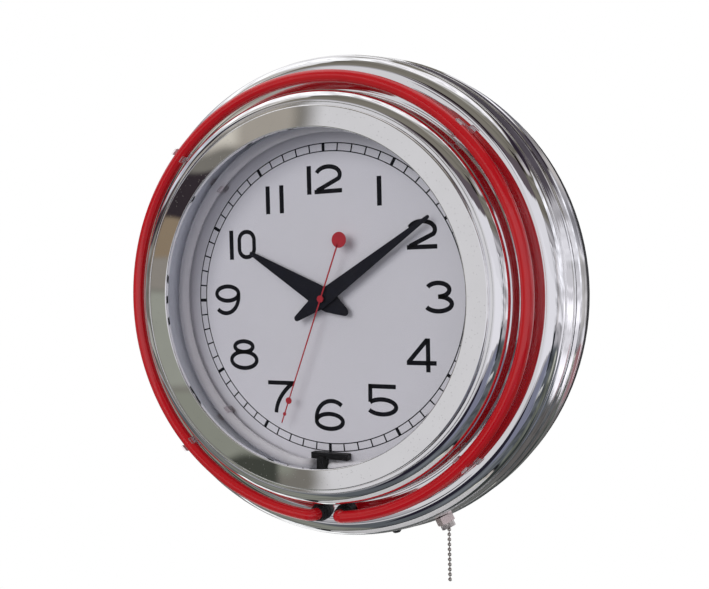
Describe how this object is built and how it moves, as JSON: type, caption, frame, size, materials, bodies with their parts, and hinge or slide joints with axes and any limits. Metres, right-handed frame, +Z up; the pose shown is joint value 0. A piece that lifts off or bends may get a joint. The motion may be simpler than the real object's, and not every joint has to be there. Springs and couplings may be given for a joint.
{
  "type": "neon advertising wall clock",
  "caption": "Round wall clock in a stepped chrome case, with an exposed red neon ring in a channel, a white ring round the dial, quartz movement and pull-chain switch.",
  "frame": {"origin": "on the clock's axis, in the plane of the wall that the rear cover rests against", "axes": "+Z up, +Y into the wall, -Y out through the dial, +X to the right of someone reading the dial"},
  "size_m": [0.4144, 0.1075, 0.4431],
  "materials": {
    "plated_case": "polished chrome plate",
    "plated_bezel": "polished chrome plate",
    "lens_glass": "clear flat glass",
    "white_reflector": "white enamel",
    "dial_face": "satin pale grey enamel with black markings",
    "black_cover": "satin black paint",
    "black_plastic": "moulded black",
    "white_plastic": "moulded white",
    "black_rubber": "moulded rubber",
    "zinc_steel": "zinc plate",
    "dark_screws": "black oxide",
    "red_glass": "red glass tube, unlit",
    "white_glass": "phosphor-coated white tube, unlit",
    "clear_plastic": "clear plastic",
    "red_wire": "silicone sleeve",
    "white_wire": "silicone sleeve",
    "black_wire": "silicone sleeve",
    "copper_winding": "enamelled copper wire",
    "brown_bakelite": "brown bakelite",
    "nickel": "nickel plate",
    "nickel_collar": "tarnished nickel plate",
    "nickel_chain": "nickel plate",
    "brass": "turned brass",
    "green_board": "printed board",
    "magnet": "sintered magnet",
    "battery_sleeve": "printed sleeve, no marks",
    "black_hands": "gloss black",
    "red_hand": "red paint"
  },
  "bodies": {
    "clock": {"front_shell": "plated_case", "bezel_ring": "plated_bezel", "lens": "lens_glass", "inner_reflector": "white_reflector", "dial": "dial_face", "back_cover": "black_cover", "hanger_plate": "zinc_steel", "cord_gland": "black_rubber", "cover_screws": "dark_screws", "reflector_screws": "zinc_steel", "outer_neon_tube": "red_glass", "outer_tube_boots": "black_rubber", "outer_tube_clips": "clear_plastic", "outer_tube_leads": "red_wire", "inner_neon_tube": "white_glass", "inner_tube_boots": "black_rubber", "inner_tube_clips": "clear_plastic", "inner_tube_leads": "white_wire", "tube_end_bracket": "black_plastic", "power_supply_box": "black_plastic", "power_supply_lid": "black_plastic", "power_supply_screws": "zinc_steel", "supply_transformer": "copper_winding", "switch_body": "brown_bakelite", "switch_cap": "brown_bakelite", "switch_collar": "nickel_collar", "chain_bell": "nickel", "switch_bracket": "zinc_steel", "bracket_screw": "dark_screws", "switch_leads": "black_wire", "movement_case": "black_plastic", "movement_cover": "black_plastic", "movement_washer": "black_rubber", "movement_nut": "brass", "circuit_board": "green_board", "drive_coil": "copper_winding", "stator": "zinc_steel", "battery": "battery_sleeve", "battery_contacts": "zinc_steel"},
    "hour": {"hour_wheel": "white_plastic", "hour_hand": "black_hands"},
    "minute": {"minute_arbor": "brass", "minute_hand": "black_hands"},
    "second": {"second_arbor": "brass", "second_hand": "red_hand"},
    "setting": {"setting_wheel": "white_plastic", "set_knob": "white_plastic"},
    "step": {"step_wheel": "white_plastic"},
    "rotor": {"rotor": "magnet"},
    "hatch": {"battery_hatch": "black_plastic"},
    "pull": {"pull_link": "nickel_chain"},
    "knuckle": {"chain_knuckle": "nickel_chain"},
    "chain": {"pull_chain": "nickel_chain"},
    "cam": {"switch_cam": "white_plastic"}
  },
  "joints": [
    {"name": "minute_turn", "type": "hinge", "parent": "clock", "child": "minute", "pos_m": [0, -0.066, 0], "axis": [0, 1, 0], "continuous": true},
    {"name": "hour_turn", "type": "hinge", "parent": "clock", "child": "hour", "pos_m": [0, -0.066, 0], "axis": [0, 1, 0], "continuous": true},
    {"name": "setting_turn", "type": "hinge", "parent": "clock", "child": "setting", "pos_m": [-0.01212, -0.056, 0], "axis": [0, 1, 0], "continuous": true},
    {"name": "second_turn", "type": "hinge", "parent": "clock", "child": "second", "pos_m": [0, -0.066, 0], "axis": [0, 1, 0], "continuous": true},
    {"name": "step_turn", "type": "hinge", "parent": "clock", "child": "step", "pos_m": [0.00768, -0.054, 0.00768], "axis": [0, 1, 0], "continuous": true},
    {"name": "rotor_turn", "type": "hinge", "parent": "clock", "child": "rotor", "pos_m": [0.01267, -0.054, 0.01267], "axis": [0, 1, 0], "continuous": true},
    {"name": "hatch_lift", "type": "slide", "parent": "clock", "child": "hatch", "axis": [0, 1, 0], "range_m": [0, 0.02]},
    {"name": "chain_pull", "type": "slide", "parent": "clock", "child": "pull", "axis": [0, 0, -1], "range_m": [0, 0.006]},
    {"name": "cam_turn", "type": "hinge", "parent": "clock", "child": "cam", "pos_m": [0.0864, -0.048, -0.16528], "axis": [0, 1, 0], "range_deg": [0, 30.5]},
    {"name": "chain_sway", "type": "hinge", "parent": "pull", "child": "knuckle", "pos_m": [0.0997, -0.048, -0.19231], "axis": [0, 1, 0], "range_deg": [-25, 25]},
    {"name": "chain_swing", "type": "hinge", "parent": "knuckle", "child": "chain", "pos_m": [0.0997, -0.048, -0.19651], "axis": [1, 0, 0], "range_deg": [-25, 25]}
  ],
  "couplings": [
    {"joint": "hour_turn", "follows": "minute_turn", "ratio": 0.083333},
    {"joint": "setting_turn", "follows": "minute_turn", "ratio": -0.33333},
    {"joint": "step_turn", "follows": "second_turn", "ratio": -5},
    {"joint": "rotor_turn", "follows": "second_turn", "ratio": 30},
    {"joint": "cam_turn", "follows": "chain_pull", "rad_per_m": 87.266}
  ]
}
